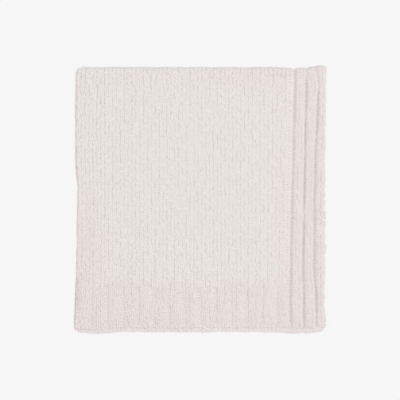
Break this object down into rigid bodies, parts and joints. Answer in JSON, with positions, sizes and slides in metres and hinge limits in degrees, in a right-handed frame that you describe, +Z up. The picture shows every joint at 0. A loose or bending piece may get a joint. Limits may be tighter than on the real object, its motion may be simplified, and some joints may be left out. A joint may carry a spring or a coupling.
{
  "type": "folded knit throw",
  "caption": "Square knitted throw folded in four, with a ribbed hem at the front and a ribbed border down the right side.",
  "frame": {"origin": "on the surface that the throw lies on, under the middle of its outline", "axes": "+X to the side borders, -X to the first fold, +Y to the second fold, -Y to the hems, +Z up out of the stack"},
  "size_m": [0.388, 0.4106, 0.0193],
  "materials": {
    "knit": "soft off-white chenille knit, matt with a short velvety pile"
  },
  "bodies": {
    "root": {"throw": "knit"}
  },
  "joints": []
}
